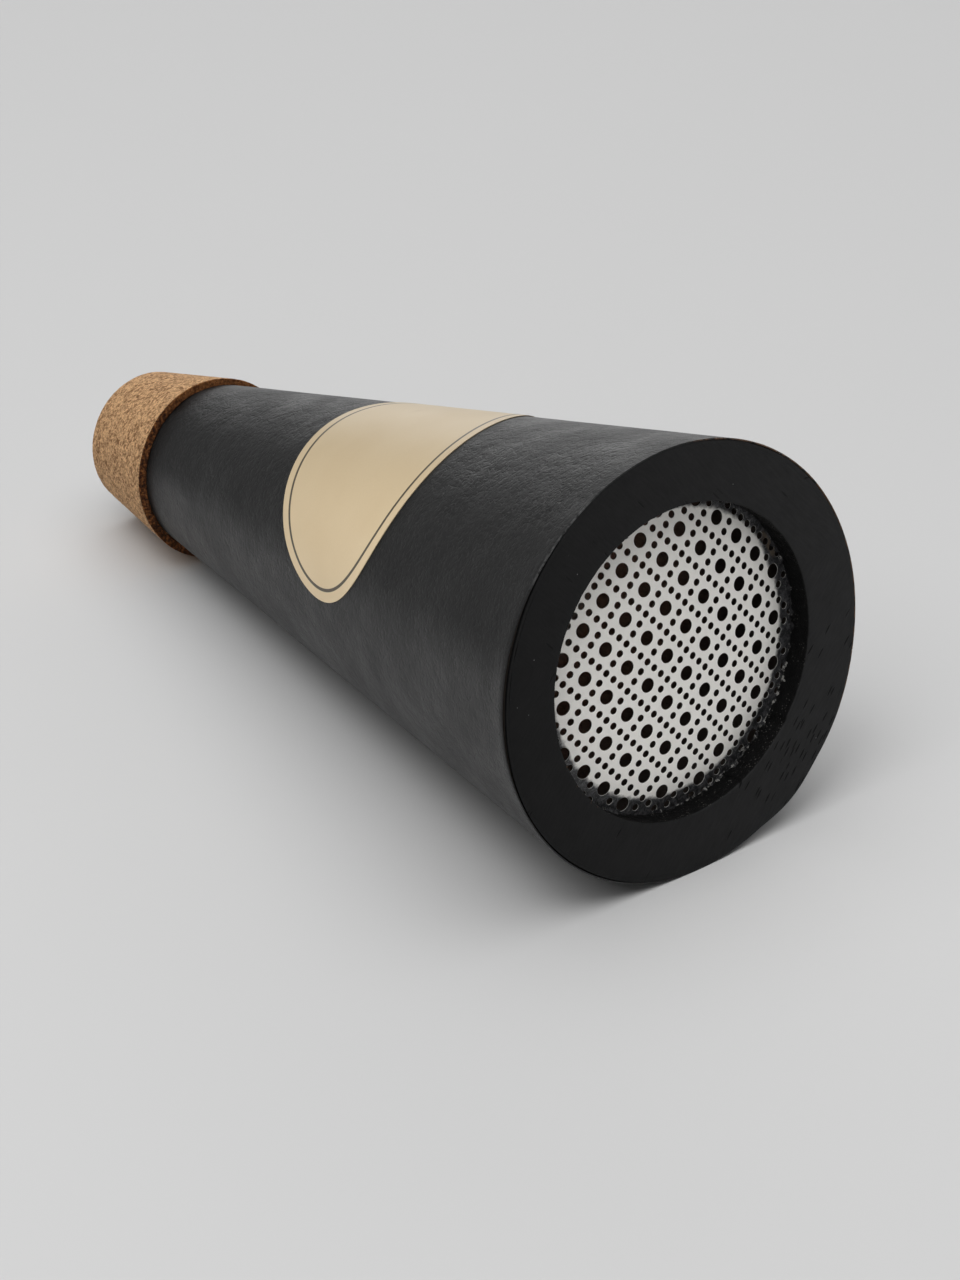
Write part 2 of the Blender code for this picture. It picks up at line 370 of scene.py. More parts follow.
def leatherette_finish(colours, cone, cork):
    """Satin black leatherette with soft creases round the cone, worn at its rim, with a painted
    highlight on the rim's edge, a painted shadow by the cork, and painted bands of shade and light
    low on its side.
    """
    paint = Finish("leatherette", Specular_IOR_Level=0.52, IOR=1.5)
    sheet = paint.node("UVMap", uv_map="unrolled")
    along, across, _ = paint.split(sheet)
    away = (along * along + across * across).root()
    wrapped = paint.node("CombineXYZ", {0: away, 1: across})
    creases = paint.long_grain(wrapped, (0.95, 1.15, 1.0), distortion=0.7)
    folds = 1 - abs(creases * 2 - 1)
    lumps = paint.grain(sheet, 2.2, distortion=0.6)
    fine = paint.grain(sheet, 0.5)
    swells = paint.grain(sheet, 11)
    paint.relief(creases + folds * 0.35 + lumps * 0.55 + fine * 0.20 + swells * 3.3, 0.33)
    mottle = paint.grain(sheet, 14, detail=3, roughness=0.6).rise(0.3, 0.7)
    shade = paint.vary(mottle, colours.leatherette, 0.3, 1.7)
    dust = paint.cells(sheet, 8).rise(0.022, 0.010) * (paint.grain(sheet, 21) > 0.5)
    shade = paint.mix(dust, shade, (0.35, 0.35, 0.35))
    at = Place(paint)
    at_rim = at.ahead.rise(-0.32 * MM, -0.16 * MM)
    end = at.ahead.rise(-0.14 * MM, -0.06 * MM)
    wear_and_highlight_patches = at.grain(1.6, detail=3, roughness=0.6)
    # Painted highlight: a patchy grey line on the rim's edge at the upper left, where the edge
    # catches light; the same patches wear the rim brown on the other side.
    painted_rim_highlight = at.near(-141, 9, 5) * at_rim * wear_and_highlight_patches.rise(0.35, 0.6)
    browned = at.near(116, 50, 10) * at_rim * wear_and_highlight_patches.rise(0.38, 0.56)
    shade = paint.mix(end, shade, toned(colours.stain, 0.8))
    shade = paint.mix(browned * 0.8, shade, toned(colours.wood, 0.8))
    shade = paint.mix(painted_rim_highlight, shade, (0.08, 0.08, 0.08))
    cork_foot = cork.length - cone.length
    # Painted shadow: the cover is made black under the cork and for up to 1.9 mm in front of its
    # foot, as contact shade.
    under_cork = at.ahead.rise(cork_foot + 1.9 * MM, cork_foot + 0.1 * MM)
    shade = paint.mix(under_cork, shade, (0, 0, 0))
    # Painted shade: a band low on the left side is made near black, standing for the room's dark side
    # seen in the sheen; it is also made rougher.
    painted_shade_band = at.near(-126, 8, 20)
    shade = paint.mix(painted_shade_band * (1 - end) * 0.85, shade, (0.001, 0.001, 0.001))
    # Painted light: a paler band next to it, standing for the bright floor seen in the sheen.
    painted_light_band = at.near(-91, 7, 16)
    shade = paint.mix(painted_light_band * (1 - end) * 0.5, shade, (0.019, 0.019, 0.019))
    paint.set(
        Base_Color=shade,
        Roughness=(mottle * 0.7 + folds * 0.3).spread(0.39, 0.61) + end * 0.25 + painted_shade_band * 0.13,
    )
    return paint.material


def stained_end(paint, ring, colours):
    """Matt black stain on the face of the big end, for the ring and for the board's end:
    its colour, its roughness, its relief, and its fine stipple."""
    at = Place(paint)
    mirrored = abs(at.down + ring.seam) - ring.seam
    boards = paint.node("CombineXYZ", {0: mirrored, 1: at.side, 2: at.ahead})
    pore_distance, pore_colour = paint.node(
        "TexVoronoi",
        {"Vector": paint.stretched(boards, (5.2, 0.85, 3.0), turn=ring.grain), "Scale": 1.0},
        output=("Distance", "Color"),
        voronoi_dimensions="2D",
    )
    chance = paint.split(pore_colour)[0]
    crowded = at.near(45, 5, 10) * at.radius.rise(34 * MM, 37 * MM)
    sparse = at.near(50, 26, 14)
    chosen = (chance + crowded * 0.35 + sparse * 0.17).rise(0.95, 1.0)
    pores = pore_distance.rise(0.30, 0.16) * chosen * at.down.rise(-30 * MM, 0).spread(0.5, 1.0)
    fibres = paint.long_grain(boards, (3.5, 0.5, 3.0), turn=ring.grain, detail=3)
    stipple = at.grain(0.45, detail=3, roughness=0.6)
    blotches = at.grain(7, detail=3)
    shade = paint.vary(fibres * 0.6 + blotches * 0.4, colours.stain, 0.5, 1.5)
    # Painted light: the face is made lighter towards the mute's +Y side and darker towards its -Y
    # side.
    painted_light = at.side / (46 * MM)
    shade = paint.times(shade, painted_light.spread(1.28, 1.86))
    specks = paint.cells(at.vector, 3.4).rise(0.045, 0.02) * (at.grain(5) > 0.5)
    shade = paint.mix(specks, shade, (0.18, 0.18, 0.18))
    shade = paint.mix(pores * 0.85, shade, (0, 0, 0))
    height = stipple * 0.35 + fibres * 0.25 - pores * 2.2
    return shade, stipple.spread(0.58, 0.72), height, stipple


def wood_finish(colours, ring):
    """Stained wood, with a rough and gritty black bore."""
    paint = Finish("stained_wood", Specular_IOR_Level=0.12, IOR=1.5)
    shade, roughness, height, stipple = stained_end(paint, ring, colours)
    at = Place(paint)
    in_bore = at.ahead.rise(-0.2 * MM, -0.6 * MM)
    edge = at.radius.rise(ring.bore + 0.75 * MM, ring.bore + 0.2 * MM)
    patches = at.grain(1.7, detail=3, roughness=0.7).rise(0.60, 0.68)
    worn = edge * patches * at.near(-95, 45, 20) * (1 - in_bore)
    dusted = at.near(17, 28, 18) + at.near(140, 16, 20)
    grit = paint.cells(at.vector, 0.62).rise(0.30, 0.12)
    grit = grit * (at.grain(2.6) + dusted * 0.05).rise(0.46, 0.66)
    sooty = at.grain(0.8, detail=3, roughness=0.7).spread(0.0, 0.25)
    shade = paint.mix(in_bore * (1 - sooty), shade, (0, 0, 0))
    shade = paint.mix(worn * 0.6, shade, colours.wood)
    shade = paint.mix(grit * in_bore * 0.5, shade, (0.14, 0.135, 0.125))
    paint.relief(height + in_bore * stipple * 3.0, 0.09, 0.8)
    paint.set(Base_Color=shade, Roughness=roughness + in_bore * 0.1)
    return paint.material


def board_finish(colours, ring):
    """Brown fibreboard, painted pale deep inside as light shining in, darker towards the rim, its end
    stained black.
    """
    paint = Finish("fibreboard", Specular_IOR_Level=0.12)
    shade, roughness, height, _ = stained_end(paint, ring, colours)
    at = Place(paint)
    fibres = paint.long_grain(at.vector, (0.9, 0.9, 5), detail=3, roughness=0.65)
    flecks = at.grain(0.6).rise(0.62, 0.72)
    brown = paint.vary(fibres, colours.board, 0.6, 1.4)
    brown = paint.mix(flecks * 0.5, brown, toned(colours.board, 0.35))
    # Painted light: the board is made pale from about 70 mm in, standing for light that shines into
    # the mute.
    painted_light = at.ahead.rise(-67 * MM, -73 * MM)
    brown = paint.mix(painted_light, brown, (0.90, 0.84, 0.76))
    # The board's inside is made darker from 72 mm in towards the rim.
    darker_towards_rim = at.ahead.rise(-72 * MM, -28 * MM)
    brown = paint.mix(darker_towards_rim, brown, (0.085, 0.070, 0.060))
    stained = at.ahead.rise(-0.9 * MM, -0.5 * MM)
    paint.relief(height * stained + (fibres + flecks) * (1 - stained), 0.08, 0.8)
    paint.set(
        Base_Color=paint.mix(stained, brown, shade),
        Roughness=stained * roughness + (1 - stained) * fibres.spread(0.75, 0.9),
    )
    return paint.material


def aluminium_finish(colours, ring, grille):
    """Satin sheet aluminium, painted darker at the top and lighter towards the floor, with black glue
    smeared on by the ring.
    """
    paint = Finish("aluminium_sheet", IOR=1.5)
    at = Place(paint)
    streaks = paint.long_grain(at.vector, (0.25, 7, 7), turn=grille.turn)
    clouds = at.grain(6, detail=4, roughness=0.6)
    blots = at.grain(1.1, detail=4, roughness=0.65)
    farther = at.near(160, 28, 20) * (1.4 * MM)
    out = at.radius - farther + (blots - 0.5) * (1.4 * MM)
    smear = out.rise(ring.bore - 4.3 * MM, ring.bore - 3.1 * MM)
    wisps = at.grain(1.4, detail=4, roughness=0.7, distortion=1.5).rise(0.42, 0.66)
    crust = at.grain(0.55, detail=3, roughness=0.7).rise(0.58, 0.70) * smear
    upright = paint.facing(AXIS)
    # The holes' walls, which face sideways, are coloured near black.
    wall = upright.rise(0.55, 0.35)
    lip = upright.rise(0.55, 0.65) * upright.rise(0.95, 0.88)
    metal = paint.vary(clouds, colours.aluminium, 0.95, 1)
    # Painted light and shade: the sheet is made darker at the top and lighter towards the floor.
    painted_light_to_floor = at.down.rise(-38 * MM, 38 * MM)
    metal = paint.times(metal, painted_light_to_floor.spread(0.90, 1.09))
    dirt = paint.mix(wisps, (0.010, 0.010, 0.011), (0.085, 0.086, 0.090))
    shade = paint.mix(smear * (1 - lip * 0.5), metal, dirt)
    shade = paint.mix(crust * 0.4, shade, (0.30, 0.30, 0.29))
    scrap = at.near(119, 4, 3) * at.radius.rise(31.2 * MM, 31.8 * MM)
    scrap = scrap * blots.rise(0.35, 0.5) * at.radius.rise(33.3 * MM, 32.9 * MM)
    shade = paint.mix(scrap * 0.8, shade, (0.11, 0.085, 0.06))
    shade = paint.mix(wall, shade, (0.012, 0.010, 0.009))
    paint.relief(streaks * 0.5 + clouds + smear * blots * 8, 0.012, 0.5)
    paint.set(
        Base_Color=shade,
        Metallic=(1 - smear) * 0.22,
        Roughness=(streaks * 0.3 + clouds * 0.7).spread(0.32, 0.44),
    )
    return paint.material


def glue_finish(colours):
    """Black glue, part glossy, with pale torn flecks."""
    paint = Finish("black_glue", Specular_IOR_Level=0.25, IOR=1.5)
    at = Place(paint)
    lumps = at.grain(0.9, detail=3, roughness=0.6)
    torn = at.near(33, 30, 20)
    flecks = (at.grain(1.1, detail=4, roughness=0.7) + torn * 0.08).rise(0.57, 0.67)
    paint.relief(lumps, 0.12, 0.8)
    paint.set(
        Base_Color=paint.mix(flecks * 0.85, colours.glue, (0.27, 0.265, 0.25)),
        Roughness=lumps.spread(0.35, 0.65),
    )
    return paint.material


def cork_finish(colours, cork, cone):
    """Granulated cork: fine pale crumbs, few darker ones, and a cut end darkened with painted shade,
    paler towards the top.
    """
    paint = Finish("cork", Specular_IOR_Level=0.25)
    at = Place(paint)
    drift = paint.node("TexNoise", {"Vector": at.vector, "Scale": 900}, output="Color")
    reach = (0.5 * MM, 0.5 * MM, 0.5 * MM)
    shifted = paint.node(
        "VectorMath", {0: drift, 1: reach, 2: at.vector}, operation="MULTIPLY_ADD"
    )
    tone = paint.split(paint.cells(shifted, 0.72, output="Color"))[0]
    small = paint.split(paint.cells(shifted, 0.44, output="Color"))[1]
    tones = paint.node(
        "ValToRGB",
        {"Fac": tone * 0.5 + small * 0.5},
        stops=(
            (0.20, colours.cork_dark),
            (0.36, toned(colours.cork, 0.72)),
            (0.5, colours.cork),
            (0.68, colours.cork_light),
        ),
    )
    gaps = paint.cells(shifted, 0.72, feature="DISTANCE_TO_EDGE").rise(0.10, 0.02)
    bark = at.grain(0.42, roughness=0.6).rise(0.50, 0.62)
    shade = paint.mix(gaps * 0.35, tones, colours.cork_dark)
    shade = paint.mix(bark * 0.48, shade, colours.cork_dark)
    front = cork.length - cone.length
    cut = at.ahead.rise(front - 0.3 * MM, front - 0.12 * MM)
    crumbled = at.grain(0.7, detail=3, roughness=0.7).rise(0.42, 0.62)
    # Painted shade: the cut end is darkened as it lies in shadow, with painted light making it paler
    # towards the top.
    painted_light_top = at.near(175, 22, 25)
    cut_shade = paint.mix(crumbled, (0.10, 0.055, 0.03), (0.44, 0.27, 0.16))
    cut_shade = paint.mix(painted_light_top * 0.5, cut_shade, (0.62, 0.42, 0.27))
    shade = paint.mix(cut, shade, cut_shade, blend="MULTIPLY")
    height = at.grain(0.5, detail=3) * 0.5 - gaps * 0.5 - bark * 0.6 + small * 0.4
    paint.relief(height, 0.14, 0.9)
    paint.set(Base_Color=shade, Roughness=tone.spread(0.78, 0.92))
    return paint.material


def felt_finish(colours):
    """Pressed felt: tangled fibres in two greys."""
    paint = Finish("felt", Specular_IOR_Level=0.15, Sheen_Weight=0.35, Sheen_Roughness=0.5)
    along = paint.along_mute()
    fibres = paint.grain(along, 0.7, detail=5, roughness=0.75, distortion=2.5)
    tufts = paint.grain(along, 5, detail=3)
    shade = paint.vary(fibres.rise(0.3, 0.7), colours.felt, 0.55, 1.3)
    shade = paint.mix(tufts.rise(0.45, 0.75) * 0.35, shade, toned(colours.felt, 0.7))
    paint.relief(fibres + tufts, 0.35, 0.9)
    paint.set(Base_Color=shade, Roughness=fibres.spread(0.88, 1.0))
    return paint.material


def label_finish(colours, label):
    """Cream paper with a thin oval line set in from its edge and no other print, its colour painted
    darker towards the oval's upper end and lighter towards its lower end.
    """
    paint = Finish("label_paper", Specular_IOR_Level=0.45)
    flat = paint.node("UVMap", uv_map="unrolled")
    across, along, _ = paint.split(flat)
    half_width = label.width / 2 - label.border
    half_height = label.height / 2 - label.border
    across_share = (across / half_width) ** 2
    along_share = (along / half_height) ** 2
    share = (across_share + along_share).root()
    slope = (across_share / half_width**2 + along_share / half_height**2).root()
    off_line = abs(share - 1) * share / slope
    line = off_line.rise(label.line * 0.56, label.line * 0.44)
    pulp = paint.grain(flat, 0.5, detail=4, roughness=0.6)
    ageing = paint.grain(flat, 18, detail=3)
    spot = (-14.5 * MM, -6 * MM, 0)
    off_spot = paint.node("VectorMath", {0: flat, 1: spot}, output="Value", operation="DISTANCE")
    smudge = off_spot.rise(2.6 * MM, 0.4 * MM) * paint.grain(flat, 2.4, detail=3).rise(0.4, 0.7)
    paper = paint.vary(pulp, colours.paper, 0.95, 1.05)
    paper = paint.mix(ageing.rise(0.35, 0.8) * 0.35, paper, (0.58, 0.44, 0.26))
    paper = paint.mix(smudge * 0.16, paper, (0.35, 0.2, 0.1))
    # Painted light and shade: the paper is made darker towards the oval's upper end and lighter
    # towards its lower end.
    painted_light_and_shade = across.rise(-10 * MM, 36 * MM)
    paper = paint.times(paper, painted_light_and_shade.spread(0.76, 1.26))
    ink = line * pulp.spread(0.8, 1.0)
    paint.relief(pulp + ageing * 6, 0.03, 0.4)
    paint.set(
        Base_Color=paint.mix(ink, paper, colours.ink),
        Roughness=ageing.spread(0.34, 0.46),
    )
    return paint.material


def floor_finish(colours):
    """Pale matt floor, with a hardly visible mottle."""
    paint = Finish("pale_floor", Roughness=0.9, Specular_IOR_Level=0.1)
    mottle = paint.grain(paint.node("TexCoord", output="Object"), 60, detail=3)
    paint.set(Base_Color=paint.vary(mottle, colours.floor, 0.99, 1))
    return paint.material


class Backdrop(Finish):
    """The world, wired as a finish is."""

    def __init__(self, name):
        self.world = bpy.data.worlds.new(name)
        self.world.use_nodes = True
        self.tree = self.world.node_tree
        self.shader = self.tree.nodes["Background"]


def pale_room():
    """A bright ceiling, a bright wall behind the mute, and walls that darken upwards."""
    room = Backdrop("pale_room")
    toward = room.node("TexCoord", output="Generated")
    height = room.split(toward)[2]
    away = (-0.676, 0.737, 0)
    behind = room.node("VectorMath", {0: toward, 1: away}, output="Value", operation="DOT_PRODUCT")
    walls = height.rise(0.30, 0.02).spread(0.09, 0.60)
    walls = walls + (1.97 - walls) * behind.rise(0.71, 1.0)
    light = walls + (1.89 - walls) * height.rise(0.74, 0.88)
    room.set(Color=room.node("CombineColor", {0: light, 1: light, 2: light}))
    return room.world


# Shapes


def wall_radius(cone, z, depth=0.0):
    """Radius at height z of the surface that lies depth under the cover's outside."""
    taper = (cone.rim - cone.tip) / cone.length
    return cone.rim + taper * z - depth / cos(atan(taper))


def wall_section(cone, front, rear, depth, thickness):
    """A wall that follows the cone: down its outside and back up its inside."""
    return [
        (wall_radius(cone, front, depth), front),
        (wall_radius(cone, rear, depth), rear),
        (wall_radius(cone, rear, depth + thickness), rear),
        (wall_radius(cone, front, depth + thickness), front),
    ]


def ease(shape, geom, size, segments, affect):
    """Round off corners or edges."""
    bmesh.ops.bevel(
        shape,
        geom=geom,
        offset=size,
        offset_type="OFFSET",
        segments=segments,
        profile=0.5,
        affect=affect,
        material=-1,
    )


def turned(section, steps, rows, eases=(), parting=None, skive=0.0, slit=0.0):
    """Spin a closed section of (radius, z) round the axis.

    rows cuts each of the section's sides into that many. eases rounds corners, given as
    (corner, size). With a parting, the wall is open there: its ends stand slit apart and
    lean over by the skive.
    """
    shape = bmesh.new()
    corners = [shape.verts.new((radius, 0, z)) for radius, z in section]
    sides = [shape.edges.new(pair) for pair in zip(corners, corners[1:] + corners[:1])]
    for side, cuts in zip(sides, rows):
        if cuts > 1:
            bmesh.ops.subdivide_edges(shape, edges=[side], cuts=cuts - 1)
    for corner, size in eases:
        spot = Vector((section[corner][0], 0, section[corner][1]))
        nearest = min(shape.verts, key=lambda vert: (vert.co - spot).length)
        ease(shape, [nearest], size, segments=3, affect="VERTICES")
    if parting is None:
        sweep, merge = TURN, True
    else:
        outside = max(radius for radius, _ in section)
        sweep, merge = TURN - slit / outside, False
        for vert in shape.verts:
            lean = (nearest_outside(section, vert.co.z) - vert.co.x) * tan(skive)
            turn = Matrix.Rotation(parting + lean / vert.co.x, 3, "Z")
            vert.co = turn @ vert.co
    bmesh.ops.spin(
        shape,
        geom=shape.verts[:] + shape.edges[:],
        cent=(0, 0, 0),
        axis=(0, 0, 1),
        angle=sweep,
        steps=steps,
        use_merge=merge,
    )
    if merge:
        bmesh.ops.remove_doubles(shape, verts=shape.verts, dist=0.001 * MM)
    else:
        open_ends = [edge for edge in shape.edges if edge.is_boundary]
        bmesh.ops.holes_fill(shape, edges=open_ends, sides=0)
    bmesh.ops.recalc_face_normals(shape, faces=shape.faces)
    return shape


def nearest_outside(section, z):
    """Outer radius of a four-sided wall at height z."""
    (front_radius, front), (rear_radius, rear) = section[0], section[1]
    share = min(1.0, max(0.0, (z - rear) / (front - rear)))
    return rear_radius + (front_radius - rear_radius) * share


def wander(point, size, seed=0.0, octaves=3):
    """Smooth noise about zero with features of that size."""
    return noise.fractal(Vector(point) / size + Vector((seed, seed, seed)), 1.0, 2.0, octaves)


def off_axis(vert):
    return hypot(vert.co.x, vert.co.y)


def push_out(vert, amount):
    """Move a vertex away from the axis."""
    radius = off_axis(vert)
    vert.co.x *= 1 + amount / radius
    vert.co.y *= 1 + amount / radius


def near_rim(vert, depth):
    """1 at the rim, falling to 0 at that depth in millimetres behind it."""
    return max(0.0, 1 + vert.co.z / (depth * MM))


def swell(vert, centre, half_width):
    """1 at a bearing in degrees, falling to 0 at half_width degrees on both sides of it."""
    off = degrees(atan2(vert.co.y, vert.co.x)) - centre
    off = ((off + 180) % 360 - 180) / half_width
    return max(0.0, 1 - off * off) ** 2


def knocked(vert, share=1.0):
    """Bend the rim out where use has left it with a blunt corner, near the floor."""
    bulge = 0.62 * swell(vert, 52, 31) + 0.76 * swell(vert, 33, 13)
    push_out(vert, bulge * MM * near_rim(vert, 25) ** 2 * share)


def unroll(shape, cone, start, half_angle_sine):
    """Write each vertex's place on the flat, unrolled sheet into the UV map."""
    layer = shape.loops.layers.uv.new("unrolled")
    apex = cone.rim / half_angle_sine
    for face in shape.faces:
        middle = (atan2(face.calc_center_median().y, face.calc_center_median().x) - start) % TURN
        for loop in face.loops:
            spot = loop.vert.co
            bearing = (atan2(spot.y, spot.x) - start) % TURN
            if abs(bearing - middle) > pi:
                bearing += TURN if bearing < middle else -TURN
            away = apex + spot.z
            swing = (bearing - pi) * half_angle_sine
            loop[layer].uv = (away * cos(swing), away * sin(swing))


def add_piece(name, shape, material, nodes=(), sharp=30):
    """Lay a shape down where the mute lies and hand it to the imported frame."""
    bmesh.ops.transform(shape, matrix=LAID_DOWN, verts=shape.verts)
    mesh = bpy.data.meshes.new(name)
    shape.to_mesh(mesh)
    shape.free()
    mesh.materials.append(material)
    mesh.shade_smooth()
    mesh.set_sharp_from_angle(angle=radians(sharp))
    piece = bpy.data.objects.new(name, mesh)
    bpy.context.scene.collection.objects.link(piece)
    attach(piece, BODY)
    if nodes:
        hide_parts(*nodes)


# One operator for each piece


class MUTE_OT_cover(bpy.types.Operator):
    """Wrap the cone in black leatherette, its edges meeting on one straight seam"""

    bl_idname = "mute.cover"
    bl_label = "Leatherette cover"

    def execute(self, context):
        cone = context.scene.mute_cone
        taper = (cone.rim - cone.tip) / cone.length
        section = wall_section(cone, 0, -cone.length, 0, cone.cover)
        hem = -1.5 * MM
        section.insert(1, (wall_radius(cone, hem), hem))
        shape = turned(
            section,
            steps=288,
            rows=(8, 64, 1, 8, 1),
            eases=((0, 0.1 * MM), (4, 0.03 * MM)),
            parting=cone.cover_seam,
            slit=0.12 * MM,
        )
        before_seam = cone.cover_seam - 0.001
        unroll(shape, cone, before_seam, sin(atan(taper)))
        under_cork = -cone.length + 28 * MM
        for vert in shape.verts:
            if off_axis(vert) > wall_radius(cone, vert.co.z, cone.cover / 2):
                folded = near_rim(vert, 4) * swell(vert, -110, 50)
                rolled = near_rim(vert, 1.2) ** 2 * swell(vert, -106, 60)
                push_out(vert, 0.75 * MM * folded - 0.4 * MM * rolled)
            elif vert.co.z > -8 * MM:
                lifted = near_rim(vert, 4) * swell(vert, -104, 42)
                push_out(vert, 0.35 * MM * lifted)
            knocked(vert)
            if vert.co.z > under_cork:
                push_out(vert, 0.06 * MM * wander(vert.co, 24 * MM, seed=4))
        finish = leatherette_finish(context.scene.mute_colours, cone, context.scene.mute_cork)
        add_piece("leatherette_cover", shape, finish, ["cone_cover"])
        return {"FINISHED"}


class MUTE_OT_board(bpy.types.Operator):
    """Roll the fibreboard cone that carries everything else"""

    bl_idname = "mute.board"
    bl_label = "Board cone"

    def execute(self, context):
        cone = context.scene.mute_cone
        depth = cone.cover + cone.glue
        section = wall_section(cone, 0, -cone.length, depth, cone.board)
        shape = turned(
            section,
            steps=288,
            rows=(60, 1, 60, 2),
            eases=((0, 0.03 * MM),),
            parting=cone.board_seam,
            skive=cone.skive,
            slit=0.1 * MM,
        )
        for vert in shape.verts:
            front = near_rim(vert, 4)
            outer = off_axis(vert) > wall_radius(cone, vert.co.z, depth + cone.board / 2)
            if outer and front > 0:
                gaping = 1.6 * swell(vert, -80, 85) + 0.5 * swell(vert, 150, 60)
                gaping += 0.5 * wander((vert.co.x, vert.co.y, 0), 9 * MM, seed=2)
                filled = 1 - min(1.0, max(0.0, gaping))
                push_out(vert, front * filled * (cone.glue - 0.01 * MM))
                push_out(vert, -0.3 * MM * front * swell(vert, -103, 38))
            knocked(vert)
        finish = board_finish(context.scene.mute_colours, context.scene.mute_ring)
        add_piece("board_cone", shape, finish, ["cone_shell"])
        return {"FINISHED"}


class MUTE_OT_ring(bpy.types.Operator):
    """Turn the wooden ring, with a rough bore and a paint-filled joint round it"""

    bl_idname = "mute.ring"
    bl_label = "Wooden ring"

    def execute(self, context):
        cone = context.scene.mute_cone
        ring = context.scene.mute_ring
        joint = cone.cover + cone.glue + cone.board + 0.01 * MM
        outside = wall_radius(cone, 0, joint)
        back = -ring.thickness
        section = [
            (outside, 0),
            (wall_radius(cone, back, joint), back),
            (ring.bore, back),
            (ring.bore, 0),
        ]
        shape = turned(
            section,
            steps=512,
            rows=(2, 3, 14, 5),
            eases=((0, 0.02 * MM), (3, ring.ease)),
        )
        for vert in shape.verts:
            radius = off_axis(vert)
            if radius < ring.bore + 0.2 * MM:
                deep = min(1.0, 0.35 - vert.co.z / ring.thickness)
                rough = wander(vert.co, 1.6 * MM, octaves=4) + 0.6 * wander(vert.co, 9 * MM, seed=7)
                push_out(vert, ring.roughness * deep * rough)
            elif radius < ring.bore + 1.5 * MM and vert.co.z > -1 * MM:
                push_out(vert, 0.08 * MM * wander(vert.co, 3 * MM, seed=1))
            elif radius > outside - 0.2 * MM:
                shrunk = max(0.0, 0.5 + wander(vert.co, 3 * MM, seed=8))
                push_out(vert, -0.22 * MM * shrunk * swell(vert, -108, 24))
            knocked(vert, share=max(0.0, (radius - ring.bore) / (outside - ring.bore)))
        finish = wood_finish(context.scene.mute_colours, ring)
        add_piece("wooden_ring", shape, finish, ["end_ring"])
        return {"FINISHED"}


def punch_places(grille, limit):
    """Centre, radius and sides of each hole: large ones on a square grid, and five small
    ones in a cross in the middle of each cell."""
    large_sides, small_sides = 28, 20
    middle, third = 0.5, 1 / 3
    arms = ((0, 0), (-third, 0), (third, 0), (0, -third), (0, third))
    cell = [(0, 0, grille.large, large_sides)]
    cell += [(middle + x, middle + y, grille.small, small_sides) for x, y in arms]
    reach = int(limit / grille.pitch) + 2
    turn = Matrix.Rotation(grille.turn, 2)
    shift = Vector((grille.shift_down, grille.shift_side))
    for row in range(-reach, reach + 1):
        for column in range(-reach, reach + 1):
            for across, along, radius, sides in cell:
                centre = turn @ Vector((column + across, row + along)) * grille.pitch + shift
                if centre.length + radius < limit:
                    yield centre, radius, sides


def verts_of(extruded):
    return [item for item in extruded["geom"] if isinstance(item, bmesh.types.BMVert)]


class MUTE_OT_grille(bpy.types.Operator):
    """Punch the sheet, ease the edges of its holes and press it into a shallow dome"""

    bl_idname = "mute.grille"
    bl_label = "Perforated grille"

    def execute(self, context):
        ring = context.scene.mute_ring
        grille = context.scene.mute_grille
        punched = ring.bore + 1.2 * MM
        shape = bmesh.new()
        bmesh.ops.create_circle(shape, segments=180, radius=punched)
        for centre, radius, sides in punch_places(grille, punched - 0.1 * MM):
            place = Matrix.Translation((centre.x, centre.y, 0))
            bmesh.ops.create_circle(shape, segments=sides, radius=radius, matrix=place)
        bmesh.ops.triangle_fill(shape, use_beauty=True, edges=shape.edges[:], normal=(0, 0, 1))
        outline = [
            rim
            for rim in shape.edges
            if rim.is_boundary and min(v.co.length for v in rim.verts) > punched - 0.01 * MM
        ]
        flange = bmesh.ops.extrude_edge_only(shape, edges=outline)
        wider = (ring.bore + grille.flange) / punched
        bmesh.ops.scale(shape, verts=verts_of(flange), vec=(wider, wider, 1))
        bmesh.ops.recalc_face_normals(shape, faces=shape.faces)
        top = bmesh.ops.extrude_face_region(shape, geom=shape.faces[:], use_keep_orig=True)
        bmesh.ops.translate(shape, verts=verts_of(top), vec=(0, 0, grille.sheet))
        bmesh.ops.recalc_face_normals(shape, faces=shape.faces)
        lips = [
            rim
            for rim in shape.edges
            if rim.calc_face_angle(0) > 1 and min(v.co.z for v in rim.verts) > grille.sheet / 2
        ]
        ease(shape, lips, 0.05 * MM, segments=1, affect="EDGES")
        seat = -ring.thickness - 0.3 * MM - grille.sheet
        for vert in shape.verts:
            share = off_axis(vert) / ring.bore
            vert.co.z += seat + grille.rise * max(0.0, 1 - share**2)
        finish = aluminium_finish(context.scene.mute_colours, ring, grille)
        add_piece("perforated_grille", shape, finish, ["grille_plate"])
        return {"FINISHED"}


